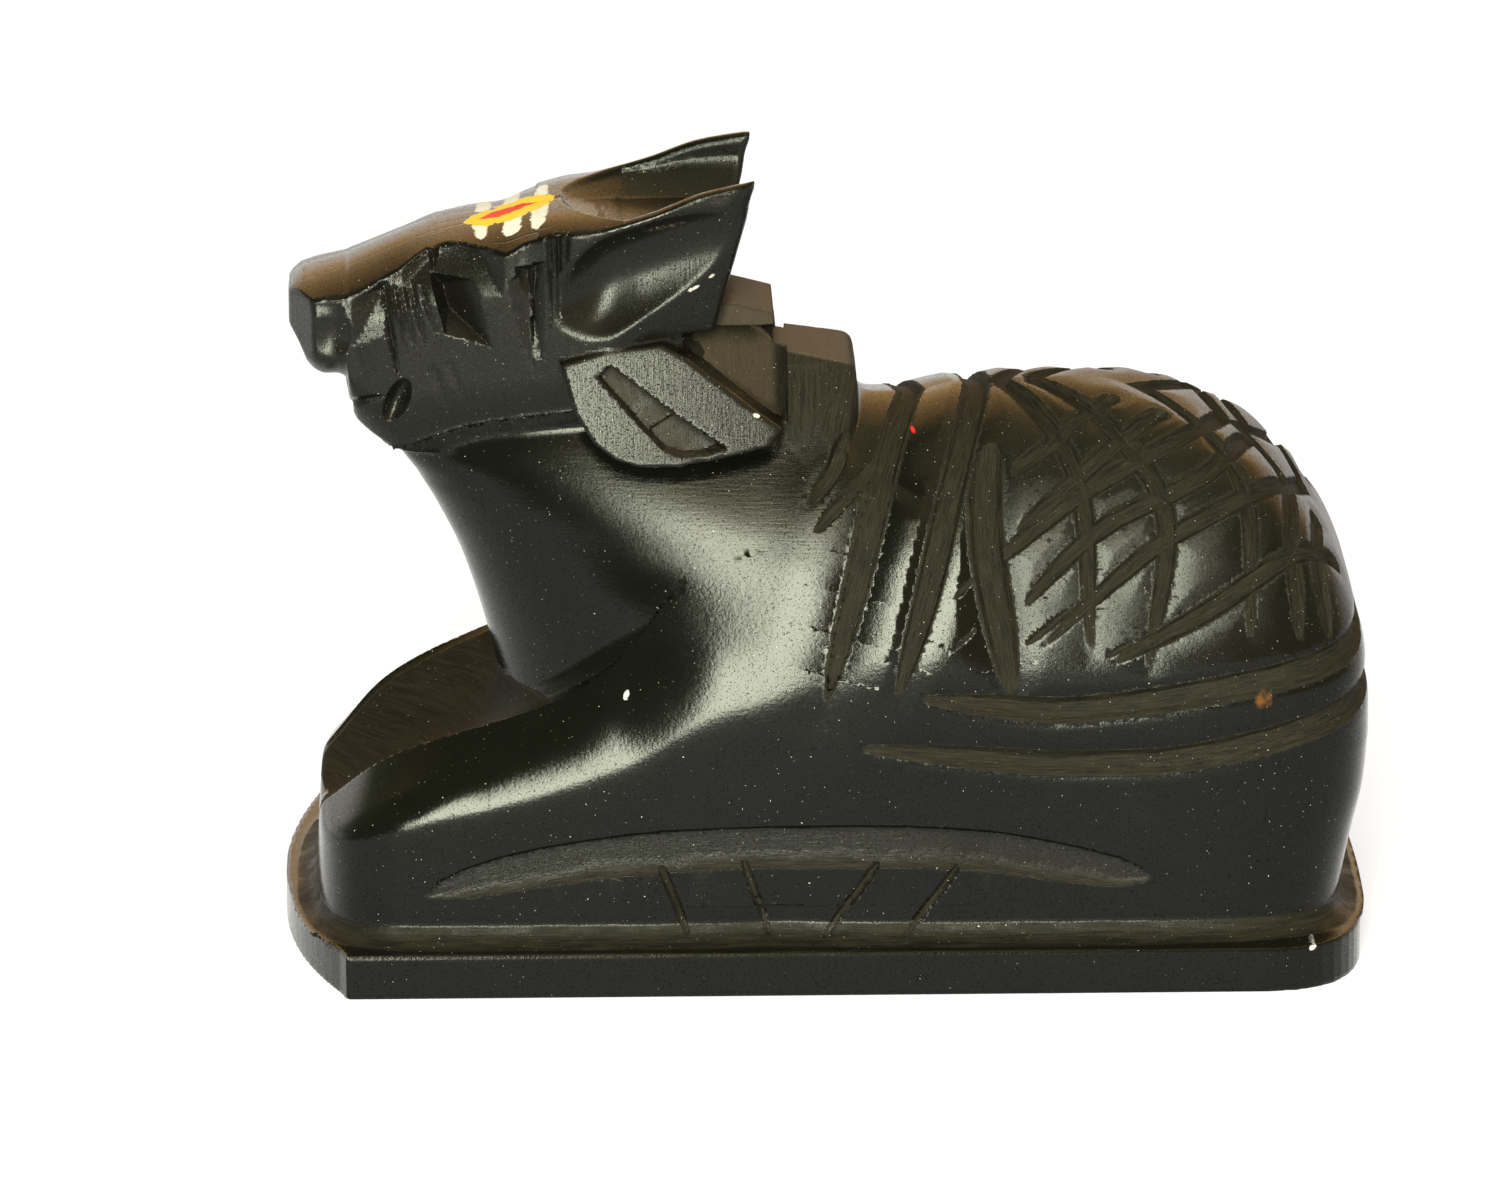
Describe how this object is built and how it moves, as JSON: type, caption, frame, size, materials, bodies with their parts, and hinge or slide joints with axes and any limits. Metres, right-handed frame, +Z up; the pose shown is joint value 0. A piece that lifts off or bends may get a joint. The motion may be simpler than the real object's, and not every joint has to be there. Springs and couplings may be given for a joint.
{
  "type": "nandi bull figure",
  "caption": "Seated Nandi bull and its plinth carved in one piece from polished black stone, with a netted saddle cloth, folded forelegs and swept-back horns.",
  "frame": {"origin": "middle of the overall box, on the underside of the plinth", "axes": "+Z up, +X from the muzzle to the rump, +Y across, towards the bull's left side"},
  "size_m": [0.1064, 0.05, 0.078],
  "materials": {
    "stone": "black stone, hand polished on the round forms, matt and filed in the cuts, with a small painted forehead mark"
  },
  "bodies": {
    "root": {"nandi_bull": "stone"}
  },
  "joints": []
}
